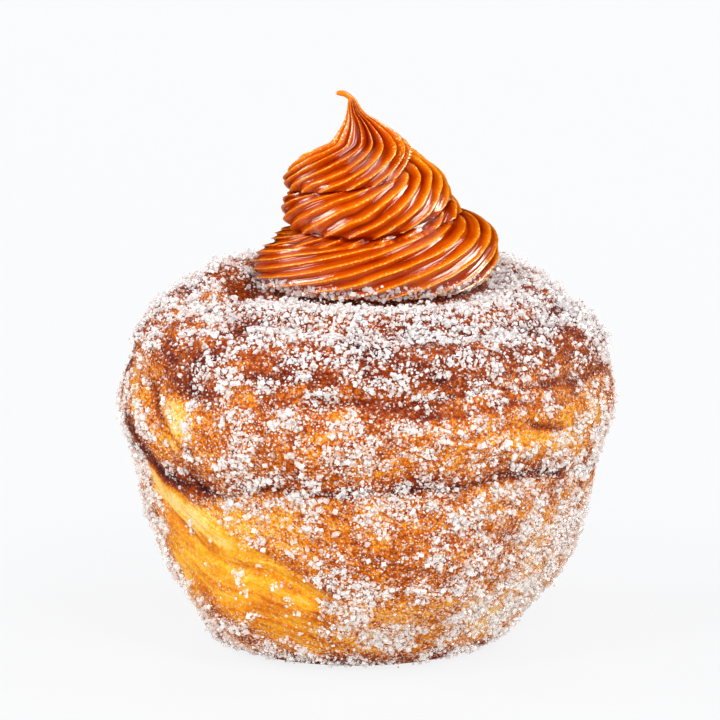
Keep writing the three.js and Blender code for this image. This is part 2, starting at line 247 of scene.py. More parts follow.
def value_noise(points, scale, seed):
    """Smooth noise between -1 and 1 at points, with features about scale across."""
    table = np.random.default_rng(seed).uniform(-1, 1, NOISE_TABLE)
    place = points / scale + NOISE_SHIFT
    cell = np.floor(place).astype(np.int64)
    part = place - cell
    part = part * part * (3 - 2 * part)
    total = np.zeros(len(points))
    for corner in range(8):
        step = np.array([corner & 1, corner >> 1 & 1, corner >> 2 & 1])
        key = cell + step
        mixed = key[:, 0] * HASHES[0] ^ key[:, 1] * HASHES[1] ^ key[:, 2] * HASHES[2]
        weight = np.prod(np.where(step, part, 1 - part), axis=1)
        total += weight * table[mixed % NOISE_TABLE]
    return total


def noise(points, kind):
    """Noise of a listed kind, in layers that halve in size and strength."""
    scale, seed, layers = NOISES[kind]
    total = np.zeros(len(points))
    size = 1.0
    for layer in range(layers):
        total += size * value_noise(points, scale / 2**layer, seed + layer)
        size *= 0.5
    return total / (2 - 2 ** (1 - layers))


def outline_at(share):
    """Radius and height of the pastry's outline, as a uniform Catmull-Rom curve."""
    last = len(OUTLINE) - 1
    place = np.clip(share, 0, 1) * last
    i = np.minimum(place.astype(int), last - 1)
    t = (place - i)[:, None]
    p0, p1 = OUTLINE[np.maximum(i - 1, 0)], OUTLINE[i]
    p2, p3 = OUTLINE[i + 1], OUTLINE[np.minimum(i + 2, last)]
    v0, v1 = (p2 - p0) / 2, (p3 - p1) / 2
    return (2 * p1 - 2 * p2 + v0 + v1) * t**3 + (3 * p2 - 3 * p1 - 2 * v0 - v1) * t**2 + v0 * t + p1


def stations_at(stations, places):
    """Values of a table of stations at places along it, each joined smoothly to the next."""
    at, values = stations[:, 0], stations[:, 1:]
    secants = np.diff(values, axis=0) / np.diff(at)[:, None]
    slopes = np.vstack([secants[:1], (secants[1:] + secants[:-1]) / 2, secants[-1:]])
    flat = np.clip(np.ravel(places), at[0], at[-1])
    i = np.clip(np.searchsorted(at, flat, side="right") - 1, 0, len(at) - 2)
    span = (at[i + 1] - at[i])[:, None]
    t = (flat - at[i])[:, None] / span
    found = (
        (2 * t**3 - 3 * t**2 + 1) * values[i] + (t**3 - 2 * t**2 + t) * span * slopes[i]
        + (3 * t**2 - 2 * t**3) * values[i + 1] + (t**3 - t**2) * span * slopes[i + 1]
    )
    return np.moveaxis(found.reshape(*np.shape(places), -1), -1, 0)


def wrapped(degrees, middle):
    return middle + np.mod(degrees - middle + 180, 360) - 180


def fold_place(fold, degrees, height):
    """Distance to a fold on the unrolled wall, signed distance above it and share along it."""
    (d0, h0), (d1, h1), _ = fold
    per_degree = math.radians(WIDEST_RADIUS)
    x = wrapped(degrees, (d0 + d1) / 2) * per_degree - d0 * per_degree
    y = height - h0
    along = np.array([(d1 - d0) * per_degree, h1 - h0])
    length = np.hypot(*along)
    along /= length
    reach = np.clip(x * along[0] + y * along[1], 0, length)
    away = np.hypot(x - reach * along[0], y - reach * along[1])
    above = (y * along[0] - x * along[1]) * (1 if d1 > d0 else -1)
    return away, above, reach / length


def line_distance(points, degrees, height):
    legs = zip(points[:-1], points[1:])
    return np.min([fold_place((start, end, 1), degrees, height)[0] for start, end in legs], axis=0)


def wall_distance(degrees, height, at_degrees, at_height):
    across = math.radians(1) * WIDEST_RADIUS * (wrapped(degrees, at_degrees) - at_degrees)
    return np.hypot(across, height - at_height)


def from_swirl(points):
    """Distance of points from the upright line through the middle of the swirl's foot."""
    return np.hypot(points[:, 0] - SWIRL_MIDDLE, points[:, 1])


# Meshes
def mesh_piece(name, points, faces, material, smooth, values):
    """Mesh object from points in millimetres, with named values at its points."""
    mesh = bpy.data.meshes.new(name)
    mesh.from_pydata((points * MM).tolist(), [], faces)
    for key, data in values.items():
        data = np.asarray(data, dtype=np.float32)
        kind, field = ("FLOAT", "value") if data.ndim == 1 else ("FLOAT_COLOR", "color")
        mesh.attributes.new(key, kind, "POINT").data.foreach_set(field, data.ravel())
    mesh.polygons.foreach_set("use_smooth", np.full(len(mesh.polygons), smooth))
    mesh.materials.append(material)
    mesh.update()
    piece = bpy.data.objects.new(name, mesh)
    bpy.context.collection.objects.link(piece)
    return piece


def grid_faces(columns, rows):
    """Quads of a grid that is closed round its columns, rows stacked one after another."""
    column, row = np.meshgrid(np.arange(columns), np.arange(rows - 1))
    here, there = row * columns + column, row * columns + (column + 1) % columns
    return np.stack([here, there, there + columns, here + columns], -1).reshape(-1, 4)


def closed_grid(points, columns, rows, start, end):
    """Points and faces of a closed grid with a middle point at each end."""
    faces = grid_faces(columns, rows).tolist()
    first, last = len(points), len(points) + 1
    top = (rows - 1) * columns
    for c in range(columns):
        faces.append([first, (c + 1) % columns, c])
        faces.append([last, top + c, top + (c + 1) % columns])
    return np.vstack([points, start, end]), faces


def padded(data, first, last):
    """Values at a grid's points, with those of the middle points at its two ends."""
    return np.concatenate([data, [first, last]])


# Pastry shape
def pastry_rows():
    """Shares along the outline and lengths up to them, far apart where the outline is hidden."""
    share = np.linspace(0, 1, SAMPLES)
    curve = outline_at(share)
    steps = np.hypot(*np.diff(curve, axis=0).T)
    radius, height = ((curve[1:] + curve[:-1]) / 2).T
    hidden = (radius < HIDDEN_FOOT) & (height < 1) | (radius < HIDDEN_TOP) & (height > ON_TOP)
    along = np.concatenate([[0], np.cumsum(steps * np.where(hidden, HIDDEN_ROWS, 1))])
    picked = np.linspace(along[-1] * ROW_MARGIN, along[-1] * (1 - ROW_MARGIN), ROWS)
    length = np.concatenate([[0], np.cumsum(steps)])
    picked_share = np.interp(picked, along, share)
    return picked_share, np.interp(picked_share, share, length)


def pastry_grid():
    """Place, angle and slope of the plain outline at each point of the pastry's grid."""
    share, length = pastry_rows()
    radius, z = outline_at(share).T
    tangent = outline_at(share + SLOPE_STEP) - outline_at(share - SLOPE_STEP)
    out, up = (tangent / np.hypot(*tangent.T)[:, None]).T
    degrees = np.tile(np.linspace(-180, 180, COLUMNS, endpoint=False), ROWS)
    angle = np.radians(degrees)
    skin = SimpleNamespace(degrees=degrees, angle=angle)
    by_row = {"radius": radius, "z": z, "out": out, "up": up, "length": length}
    for key, data in by_row.items():
        setattr(skin, key, np.repeat(data, COLUMNS))
    side, depth = skin.radius * np.sin(angle), -skin.radius * np.cos(angle)
    skin.base = np.stack([side, depth, skin.z], -1)
    return skin


def add_sway(skin):
    """How far the seam and what lies near it wander up and down, and the heights that follow."""
    z = skin.z
    sway = SWAY_SIZE * np.sin(SWAY_ROUND * skin.angle + SWAY_PHASE)
    for at, rise, width in SEAM_RISES:
        sway += rise * bell(wrapped(skin.degrees, at) - at, width)
    sway += SWAY_NOISE * noise(skin.base * SWAY_STRETCH, "sway")
    skin.sway = sway * ease(z, *SWAY_HEIGHTS)
    skin.swayed = z + skin.sway * ease(z, *SHOWN_HEIGHTS)


def coil_creases(skin):
    coil = np.zeros_like(skin.z)
    for turn in COIL_TURNS:
        crease = COIL_RADIUS + COIL_PITCH * (skin.degrees / 360 + turn)
        coil = np.maximum(coil, COIL_DEPTH * bell(skin.radius - crease, COIL_WIDTH))
    return coil * ease(skin.z, *COIL_HEIGHTS)


def fold_creases(skin):
    """Soft hollows along the folds, and the sharp creases in them."""
    soft, sharp = np.zeros_like(skin.z), np.zeros_like(skin.z)
    wobble = FOLD_WOBBLE * noise(skin.base, "wobble")
    for fold in FOLDS:
        depth = fold[2]
        away = fold_place(fold, skin.degrees, skin.z)[0]
        soft += depth * bell(away, FOLD_WIDTH)
        away, _, reach = fold_place(fold, skin.degrees, skin.z + wobble)
        ends = ease(reach, *FOLD_ENDS) * ease(1 - reach, *FOLD_ENDS)
        crease = depth / DEEPEST_FOLD * bell(away, CREASE_WIDTH)
        sharp = np.maximum(sharp, crease * lerp(CREASE_ENDS, 1, ends))
    return soft, sharp


def dough_layers(skin):
    """Place in the dough's layers, which slant below the seam and run level above it."""
    warp = LAYER_WARP * noise(skin.base, "warp") + FINE_WARP * noise(skin.base, "fine_warp")
    slanting = skin.z + LAYER_RISE / FULL_TURN * skin.angle
    return np.where(skin.z < SEAM_HEIGHT, slanting, skin.length) + warp


def shingles(skin):
    """Layers that overlap like shingles, flatter where the dough is calm."""
    skin.calm = 0.5 + 0.5 * noise(skin.base, "calm")
    skin.step = np.mod(skin.layer / LAYER_THICK, 1.0)
    rising, falling = skin.step / SHINGLE_CREST, (1 - skin.step) / (1 - SHINGLE_CREST)
    profile = np.where(skin.step < SHINGLE_CREST, rising, falling) - 0.5
    return SHINGLE_SIZE * profile * (SHINGLE_LEAST + SHINGLE_CALM * skin.calm)


def blisters(skin):
    rng = np.random.default_rng(BLISTER_SEED)
    raised = np.zeros_like(skin.z)
    for _ in range(BLISTERS):
        degrees, height = rng.uniform(-180, 180), rng.uniform(*BLISTERS_AT)
        width, size = rng.uniform(*BLISTER_WIDE), rng.uniform(*BLISTER_TALL)
        raised += size * bell(wall_distance(skin.degrees, skin.z, degrees, height), width)
    return raised


def toasted_edges(skin):
    """How dark the toasted edges are, browned crust and painted shade along them, and how deep."""
    base = skin.base
    skin.ragged = RAGGED * noise(base, "ragged") + RAGGED * noise(base, "wide_ragged")
    toast, deep_edges = np.zeros_like(skin.z), np.zeros_like(skin.z)
    for width, dark, deep, *points in TOAST_AND_SHADE_LINES:
        away = line_distance(points, skin.degrees, skin.swayed + skin.ragged)
        toast = np.maximum(toast, dark * bell(away, width))
        deep_edges = np.maximum(deep_edges, deep * bell(away, TOAST_EDGE))
    return toast, deep_edges


def add_dips(skin):
    x, y, z = skin.base.T
    fade = ease(z, *DIP_HEIGHTS)

    def dip(at_x, at_y, across, tall):
        return oval(x - at_x, y - at_y, across, tall)

    skin.hollow = dip(*HOLLOW) * (z > ON_TOP)
    skin.sag = dip(*SAG) * fade
    skin.shoulder = dip(*SHOULDER) * fade
    around = wrapped(skin.degrees, PIT_DEGREES) - PIT_DEGREES
    skin.pit = oval(around, skin.radius - PIT_RADIUS, PIT_WIDE, PIT_LONG) * (z > ON_TOP)


def pastry_relief(skin):
    """How far the surface stands out from the plain outline."""
    z, radius = skin.z, skin.radius
    skin.coil = coil_creases(skin)
    soft_folds, skin.crease = fold_creases(skin)
    skin.layer = dough_layers(skin)
    skin.toast, deep_edges = toasted_edges(skin)
    swell = sum(size * np.sin(n * skin.angle + up * z + phase) for n, up, phase, size in SWELLS)
    large = swell * ease(z, *SWELL_HEIGHTS)
    large = large - COIL_SHARE * skin.coil - FOLD_SHARE * soft_folds
    small = shingles(skin) + LUMP_SIZE * noise(skin.base, "lumps") + blisters(skin)
    small = small - CREASE_DEPTH * skin.crease - SEAM_DEPTH * bell(z - SEAM_HEIGHT, SEAM_WIDTH)
    small = small - deep_edges - PIT_DEPTH * skin.pit
    small = small * ease(z, *SMALL_HEIGHTS) * ease(radius, *SMALL_RADII)
    return skin.shown * large + small


def top_rise(skin):
    """How the top rises at the back and dips at the front, round the swirl and beside it."""
    y, z = skin.base[:, 1], skin.z
    back = BACK_RISE * ease(z, *BACK_HEIGHTS) * ease(y, *BACK_FROM)
    back = back * ease(skin.radius, *BACK_RADII)
    front = FRONT_DIP * ease(z, *FRONT_HEIGHTS) * ease(-y, *FRONT_FROM)
    ring = RING_DEPTH * bell(from_swirl(skin.base) - RING_RADIUS, RING_WIDTH) * (z > ON_TOP)
    beside = HOLLOW_DEPTH * skin.hollow + SAG_DEPTH * skin.sag - SHOULDER_RISE * skin.shoulder
    return back - front - ring - beside


def pastry_points(skin):
    shown = ease(skin.z, *SHOWN_HEIGHTS) * ease(skin.radius, *SHOWN_RADII)
    skin.shown = shown
    add_sway(skin)
    add_dips(skin)
    raised = pastry_relief(skin)
    radius = skin.radius + raised * skin.up
    z = skin.z - raised * skin.out + shown * skin.sway + top_rise(skin)
    side = radius * np.sin(skin.angle) + stations_at(WALL_LEANS, skin.z)[0]
    return np.stack([side, -radius * np.cos(skin.angle), np.maximum(z, 0)], -1)


# Pastry colour and sugar
def patched(skin, patches):
    """Sum of soft ovals."""
    total = np.zeros_like(skin.z)
    for degrees, height, across, tall, amount in patches:
        around = wrapped(skin.degrees, degrees) - degrees
        total += amount * oval(around, skin.swayed - height, across, tall)
    return total


def add_strips(skin):
    """Where the pale strips run, how far along them, and the bare dough under each."""
    strip, along, bare = (np.zeros_like(skin.z) for _ in range(3))
    for fold, taper in PALE_STRIPS:
        _, above, reach = fold_place(fold, skin.degrees, skin.swayed)
        ends = ease(reach, STRIP_START, taper) * ease(1 - reach, *STRIP_END)
        thick = lerp(STRIP_THICK, STRIP_THIN, reach) * ease(reach, STRIP_WIDENS, taper)
        here = ease(above, *STRIP_LOWER) * ease(thick - above, *STRIP_UPPER) * ends
        along = np.where(here > strip, reach, along)
        strip = np.maximum(strip, here)
        under = (above < BARE_BELOW) * ends * ease(-above, *BARE_FADE)
        bare = np.maximum(bare, under * ease(reach, *BARE_START))
    skin.strip, skin.strip_along, skin.bare = strip, along, bare
    skin.soft = np.clip(strip + bare, 0, 1)


def seam_browning_and_shade(skin):
    """The browned edge along the seam, partly painted shade under the bulging top, wider above it than
    below.
    """
    over = skin.z - SEAM_HEIGHT + SEAM_RAGGED * skin.ragged
    edge = bell(over, np.where(over > 0, SEAM_OVER, SEAM_UNDER))
    return SEAM_SHADE_TONE * edge * np.clip(SEAM_USUAL + SEAM_MOTTLE * noise(skin.base, "seam"), *SEAM_LIMITS)


def pastry_tone(skin):
    z, base, calm = skin.z, skin.base, skin.calm
    tone = USUAL_TONE + MOTTLE_TONE * noise(base, "mottle") + FLECK_TONE * noise(base, "fleck")
    tone += BAND_TONE * ease(z, *BAND_HEIGHTS) + TOP_TONE * ease(z, *TOP_HEIGHTS)
    tone += patched(skin, TONE_PATCHES)
    bare_tone = BARE_TONE + BARE_CALM * calm * ease(z, *BARE_HEIGHTS)
    tone = lerp(tone, bare_tone, BARE_SHARE * skin.bare)
    strip_tone = lerp(*STRIP_TONES, skin.strip_along) + STRIP_CALM * calm
    tone = lerp(tone, strip_tone, STRIP_SHARE * skin.strip)
    # Painted shade in the fold and coil creases
    tone += CREASE_SHADE_TONE * skin.crease + COIL_SHADE_TONE * skin.coil
    # Browned crust and painted shade along the toasted edges
    tone += TOAST_SHADE_TONE * skin.toast * (1 + TOAST_CHAR * noise(base, "char"))
    # Browned crust and painted shade along the seam, under the bulging top
    tone += seam_browning_and_shade(skin)
    # Painted shade in the hollow beside the swirl
    tone = lerp(tone, HOLLOW_SHADE_TONE, np.clip(HOLLOW_SHADE_SHARE * skin.hollow, 0, 1))
    # Painted shade in the pit; the foot is browned crust and painted shade where it meets the floor
    tone += PIT_SHADE_TONE * skin.pit + FOOT_SHADE_TONE * ease(z, *FOOT_HEIGHTS)
    # Painted shade on the drop of each layer step
    tone += STEP_SHADE_TONE * bell(skin.step - STEP_AT, STEP_WIDTH)
    return np.clip(tone, *TONE_LIMITS)


def clumps(base, cover):
    """Patches, between 0 and 1, that fill the given share of the surface."""
    field = noise(base * CLUMP_STRETCH, "clump")
    rank = field.argsort().argsort() / len(field)
    return ease(rank - 1 + cover, *CLUMP_EDGE)


def add_sugar_cover(skin):
    """How thick the white clumps, the fine clear coat and the frost of sugar lie."""
    z, base, toast = skin.z, skin.base, skin.toast
    bared = np.clip(BARED_STRIP * skin.strip + skin.bare, 0, 1)
    cover = lerp(COVER_LOW, COVER_TOP, ease(z, *COVER_HEIGHTS)) + patched(skin, SUGAR_PATCHES)
    cover = np.clip(cover * (1 - COVER_BARED * bared) - COVER_ON_TOAST_SHADE * toast, *COVER_LIMITS)
    lost = KEPT_HOLLOW * skin.hollow + KEPT_PIT * skin.pit ** PIT_POWER
    kept = (1 - np.clip(lost, 0, 1)) * ease(z, *KEPT_HEIGHTS)
    clump = clumps(base, cover) * kept
    coat = np.clip(COAT_LEAST + COAT_COVER * cover + COAT_NOISE * noise(base, "coat"), *COAT_LIMITS)
    coat = coat * kept * (1 - COAT_BARED * bared) * np.clip(1 - COAT_ON_TOAST_SHADE * toast, *COAT_LEFT)
    upper = ease(z, *FROST_HEIGHTS)
    frost = lerp(*FROST_COAT, upper) * coat + lerp(*FROST_CLUMP, upper) * clump
    frost = frost + patched(skin, FROST_PATCHES) * kept
    skin.clump, skin.coat, skin.frost = clump, coat, np.clip(frost, 0, FROST_MOST)


def pastry_surface():
    skin = pastry_grid()
    points = pastry_points(skin)
    add_strips(skin)
    skin.tone = pastry_tone(skin)
    add_sugar_cover(skin)
    return skin, points


# Swirl shape
def ridge_phase(turns):
    """How far round the ridges have come, with more of them to a turn higher up."""
    share = np.clip(turns / RIDGES_TO, 0, 1)
    more = RIDGES_TO * (share**3 - share**4 / 2) + np.maximum(turns - RIDGES_TO, 0)
    return FULL_TURN * (RIDGES_LOW * turns + (RIDGES_HIGH - RIDGES_LOW) * more)


def ridge_profile(phase):
    """Ridges with narrow crests, each with fine lines along its sides."""
    slope = np.abs(2 * np.mod(phase, 1) - 1)
    fine = np.abs(2 * np.mod(FINE_RIDGES * phase, 1) - 1)
    return RIDGE_SHARE * slope**RIDGE_POWER + (1 - RIDGE_SHARE) * fine


def outer_turn(coil_z, bearing, lifted, wander):
    """Radius of the rope's outermost turn and of the next one in, and the ridges on the first."""
    start = bearing - np.floor(bearing) - 1
    first, second, crest, found = (np.zeros_like(coil_z) for _ in range(4))
    for turn in range(ROPE_TURNS):
        turns = start + turn
        middle, height, half = stations_at(ROPE, turns)
        offset = (coil_z - height) / np.maximum(half, THINNEST)
        there = (np.abs(offset) < 1) & (turns < LIFT_LAST + ROPE_END)
        outer = np.where(there, middle + half * np.sqrt(np.maximum(1 - offset**2, 0)), 0)
        turned = lerp(np.arcsin(np.clip(offset, -1, 1)), LIFTED_TURN, lifted)
        phase = (RIDGES_ACROSS * turned - ridge_phase(turns) + wander) / FULL_TURN
        ahead = outer > first
        second = np.where(ahead, first, np.maximum(second, outer))
        crest = np.where(ahead, ridge_profile(phase), crest)
        found = np.where(ahead, phase, found)
        first = np.where(ahead, outer, first)
    return first, second, crest, found


def swirl_wall(level, bearing, wander):
    """Radius, height, lean, ridge crest, crease and ridge phase of the swirl."""
    share = (np.minimum(level, LIFT_LAST) - FOOT_LEVEL) / (LIFT_LAST - FOOT_LEVEL)
    coil_z = SWIRL_FOOT + (ROPE_TOP - SWIRL_FOOT) * share
    lifted = ease(level, LIFT_FIRST, LIFT_LAST)
    first, second, crest, phase = outer_turn(coil_z, bearing, lifted, wander)
    crease = bell(first - second, SWIRL_CREASE) * (1 - lifted)
    peak_radius, peak_height, peak_lean = stations_at(PEAK, level)
    rope_lean = stations_at(LEANS, coil_z)[0]
    rope_radius = first - FURROW_DEPTH * (1 - crest)
    radius = lerp(rope_radius, peak_radius * (1 - PEAK_DEPTH * (1 - crest)), lifted)
    height, lean = lerp(coil_z, peak_height, lifted), lerp(rope_lean, peak_lean, lifted)
    return radius, height, lean, crest, crease, phase


def swirl_grid():
    """Levels and bearings of the swirl's points, both in turns, with closer rows at the tip."""
    start = np.arange(SWIRL_COLUMNS)[None, :] / SWIRL_COLUMNS
    rows = np.linspace(FOOT_LEVEL, TIP_START, SWIRL_ROWS - TIP_ROWS, endpoint=False)
    rows = np.concatenate([rows, np.linspace(TIP_START, TIP_LEVEL, TIP_ROWS)])
    level = rows[:, None] + 0 * start
    return level, start + RIDGE_LEAN * np.minimum(level, LIFT_LAST)


def rounded_tip(level, radius):
    """Radius with the end of the tip drawn round."""
    past = (level - TIP_ROUND) / (TIP_LEVEL - TIP_ROUND) * (level > TIP_ROUND)
    rounded = TIP_RADIUS * np.sqrt(np.clip(1 - past**2, 0, 1))
    return lerp(radius, rounded, ease(level, TIP_START, TIP_ALONE))


def swirl_places(level, angle, radius, height, lean):
    """Points of the swirl. Sections of its thin tip stand square to the tip's curve."""
    slope = np.gradient(lean[:, 0], height[:, 0])
    across = np.arctan(slope)[:, None] * ease(level, *SQUARE_LEVELS)
    x = lean + radius * np.sin(angle) * np.cos(across)
    y = -radius * np.cos(angle)
    z = height - radius * np.sin(angle) * np.sin(across)
    z = z + TILT_RISE * x * ease(z, *TILT_HEIGHTS) * ease(level, *TILT_LEVELS)
    return np.stack([x, y, z], -1).reshape(-1, 3)


def swirl_surface():
    level, bearing = swirl_grid()
    angle = FULL_TURN * bearing

    def level_noise(places, kind):
        return noise(np.stack(places, -1).reshape(-1, 3), kind).reshape(level.shape)

    rough = (NOISE_RADIUS * np.sin(angle), -NOISE_RADIUS * np.cos(angle), NOISE_RISE * level)
    wander = WANDER_SIZE * level_noise(rough, "wander")
    radius, height, lean, crest, crease, phase = swirl_wall(level, bearing, wander)
    drawn = (STREAK_PHASE * phase, STREAK_ROUND * bearing + STREAK_LEVEL * level, 0 * level)
    streak = level_noise(drawn, "streak")
    depth = CREASE_USUAL + CREASE_VARIES * level_noise(rough, "crease")
    bumps = BUMP_SIZE * level_noise(rough, "bumps") + STREAK_SIZE * streak - depth * crease
    radius = rounded_tip(level, radius + bumps * ease(level, *FADE_LEVELS))
    # The crease between rope turns is painted darker as shade; the colour also darkens towards the peak and
    # pales at the tip
    dark = PEAK_DARK * ease(level, *DARK_LEVELS) - TIP_PALE * ease(level, *PALE_LEVELS)
    values = {"crest": crest.ravel(), "crease_shade_and_peak_tone": (crease + dark).ravel(), "streak": streak.ravel()}
    return swirl_places(level, angle, radius, height, lean), values


# Sugar grains: corners and faces of their two shapes
BOX_CORNERS = np.array([[x, y, z] for x in (-1, 1) for y in (-1, 1) for z in (-1, 1)], float)
BOX_FACES = np.array([(0, 1, 3, 2), (4, 6, 7, 5), (0, 4, 5, 1), (2, 3, 7, 6), (0, 2, 6, 4), (1, 5, 7, 3)])
CHIP_CORNERS = 1.5 * np.array([(1, 0, 0), (-1, 0, 0), (0, 1, 0), (0, -1, 0), (0, 0, 1), (0, 0, -1)])
CHIP_FACES = np.array([
    (0, 2, 4), (2, 1, 4), (1, 3, 4), (3, 0, 4), (2, 0, 5), (1, 2, 5), (3, 1, 5), (0, 3, 5),
])
BOX, CHIP = (BOX_CORNERS, BOX_FACES), (CHIP_CORNERS, CHIP_FACES)
# Name, shape, grains, smallest and largest size, share in clumps and in the coat, opacity, roughness
SUGARS = (
    ("sugar_coarse", BOX, 13800, 0.3, 0.74, 1.0, 0.16, 0.6, 0.03),
    ("sugar_medium", BOX, 16400, 0.22, 0.38, 1.0, 0.32, 0.6, 0.06),
    ("sugar_fine", CHIP, 24000, 0.16, 0.3, 0.5, 0.7, 0.55, 0.1),
)
SUGAR_SEED, SIZE_POWER = 5, 2
OPEN_RADIUS = 16.9
STUCK, STUCK_HEIGHTS, STUCK_FRONT, STUCK_VALUE = 170, (59.2, 57.2), (-4, -12), 0.5
HEAP_RADII, HEAP_HEIGHT, HEAP_TOP, HEAP_WALL, HEAP_SPREAD, HEAP_MOST = (17, 21), 46, 0.4, 0.16, 0.7, 1.2
GRAIN_LENGTHS, GRAIN_WIDTHS, GRAIN_HEIGHTS = (0.8, 1.25), (0.7, 1.0), (0.55, 0.95)
GRAIN_CROOKED, GRAIN_TILT, GRAIN_SUNK, GRAIN_LOWEST = 0.12, 0.55, (0.05, 0.85), 0.02
SUGAR_WHITE, SUGAR_BOUNCE_WARM = np.array([0.98, 0.96, 0.945]), np.array([0.99, 0.955, 0.92])
SUGAR_SHADE, WHITE_HEIGHTS = np.array([0.1, 0.13, 0.115]), (40, 52)
HEAPED_LEAST, HEAPED_CLUMP, HEAPED_MILKY = 0.12, 0.83, (0.92, 1.0)
CLEAR_SMALL, CLEAR_LARGE, CLEAR_SIZES, CLEAR_MILKY = 0.12, 0.8, (0.22, 0.5), (0, 0.55)
CLEAR_TONE = 0.8


def random_turns(rng, normals, tilt):
    """Rotations whose third axis is near each normal."""
    axis = normals + tilt * rng.normal(size=normals.shape)
    axis /= np.linalg.norm(axis, axis=1)[:, None]
    helper = rng.normal(size=normals.shape)
    side = np.cross(axis, helper)
    side /= np.linalg.norm(side, axis=1)[:, None]
    return np.stack([side, np.cross(axis, side), axis], -1)


def scatter(rng, surface, count):
    """Places, normals and values spread over the quads of a surface by weight."""
    points, normals, values, quads, weights = surface
    quad = quads[rng.choice(len(quads), count, p=weights / weights.sum())]
    u, v = rng.uniform(size=(2, count, 1))

    def mixed(data):
        a, b, c, d = (data[quad[:, k]] for k in range(4))
        return lerp(lerp(a, b, u), lerp(d, c, u), v)

    normal = mixed(normals)
    return mixed(points), normal / np.linalg.norm(normal, axis=1)[:, None], mixed(values)


def heaped_grains(rng, pastry_top, swirl_foot, count):
    """Places, normals and values of grains, some of them stuck to the swirl's foot."""
    loose = scatter(rng, pastry_top, count)
    stuck = scatter(rng, swirl_foot, STUCK)
    place, normal, values = (np.concatenate(pair) for pair in zip(loose, stuck))
    off_swirl = ease(from_swirl(place), *HEAP_RADII)
    heap = np.where(place[:, 2] > HEAP_HEIGHT, HEAP_TOP * off_swirl, HEAP_WALL)
    heap = heap * rng.exponential(HEAP_SPREAD, len(place))
    return place + normal * np.minimum(heap, HEAP_MOST)[:, None], normal, values


def grain_points(rng, place, normal, sizes, corners):
    """Corners of grains, each a slightly crooked block of its own size and turn."""
    count = len(place)
    ranges = (GRAIN_LENGTHS, GRAIN_WIDTHS, GRAIN_HEIGHTS)
    half = sizes[:, None] / 2 * np.stack([rng.uniform(*limits, count) for limits in ranges], -1)
    crooked = 1 + GRAIN_CROOKED * rng.normal(size=(count, len(corners), 3))
    turns = random_turns(rng, normal, GRAIN_TILT)
    local = corners[None] * half[:, None, :] * crooked
    sunk = rng.uniform(*GRAIN_SUNK, count)[:, None] * half[:, 2:3]
    points = np.einsum("nij,nkj->nki", turns, local) + (place + normal * sunk)[:, None, :]
    points[:, :, 2] += np.maximum(GRAIN_LOWEST - points[:, :, 2].min(axis=1), 0)[:, None]
    return points.reshape(-1, 3)


def grain_tints(rng, place, values, sizes):
    """Colour of each grain: white in heaps, and elsewhere clearer the smaller it is. Low on the walls the
    white is warmer, painted warm light bounced from the crust.
    """
    count = len(place)
    tone, clump = values.T
    heaped = rng.uniform(size=count) < HEAPED_LEAST + HEAPED_CLUMP * clump
    in_heap = rng.uniform(*HEAPED_MILKY, count)
    clear = lerp(CLEAR_SMALL, CLEAR_LARGE, ease(sizes, *CLEAR_SIZES))
    milky = np.where(heaped, in_heap, lerp(clear, 1, rng.uniform(*CLEAR_MILKY, count)))
    # Warmer low on the walls: painted warm light bounced from the crust
    white = lerp(SUGAR_BOUNCE_WARM, SUGAR_WHITE, ease(place[:, 2], *WHITE_HEIGHTS)[:, None])
    white = white * (1 - SUGAR_SHADE * rng.uniform(size=(count, 1)) ** 2)
    tint = lerp(crust_colour(CLEAR_TONE * tone), white, milky[:, None])
    return np.concatenate([tint, np.ones((count, 1))], 1)


def sugar_piece(rng, sugar, pastry_top, swirl_foot):
    name, (corners, sides), count, small, large, _, _, opacity, roughness = sugar
    place, normal, values = heaped_grains(rng, pastry_top, swirl_foot, count)
    sizes = lerp(small, large, rng.uniform(size=len(place)) ** SIZE_POWER)
    points = grain_points(rng, place, normal, sizes, corners)
    starts = np.arange(len(place))[:, None, None] * len(corners)
    faces = (starts + sides[None]).reshape(-1, sides.shape[1]).tolist()
    tints = np.repeat(grain_tints(rng, place, values, sizes), len(corners), 0)
    material = sugar_material("clear_" + name, opacity, roughness)
    return mesh_piece(name, points, faces, material, False, {"tint": tints})


def open_areas(points, quads):
    """Area of each quad of the pastry that the swirl leaves open."""
    corner = [points[quads[:, k]] for k in range(4)]
    areas = np.linalg.norm(np.cross(corner[2] - corner[0], corner[3] - corner[1]), axis=1) / 2
    middle = sum(corner) / 4
    return areas * ((middle[:, 2] < ON_TOP) | (from_swirl(middle) > OPEN_RADIUS))


def point_normals(piece, count):
    normals = np.empty(len(piece.data.vertices) * 3, dtype=np.float32)
    piece.data.vertex_normals.foreach_get("vector", normals)
    return normals.reshape(-1, 3).astype(float)[:count]


def swirl_foot_surface(points):
    """The swirl as a surface for grains, which stick low on its front."""
    quads = grid_faces(SWIRL_COLUMNS, SWIRL_ROWS)
    normals = points * [1, 1, 0] - [SWIRL_MIDDLE, 0, 0]
    normals /= np.linalg.norm(normals, axis=1)[:, None] + 1e-9
    middle = points[quads].mean(axis=1)
    weights = ease(middle[:, 2], *STUCK_HEIGHTS) * ease(middle[:, 1], *STUCK_FRONT)
    return points, normals, np.full((len(points), 2), STUCK_VALUE), quads, weights


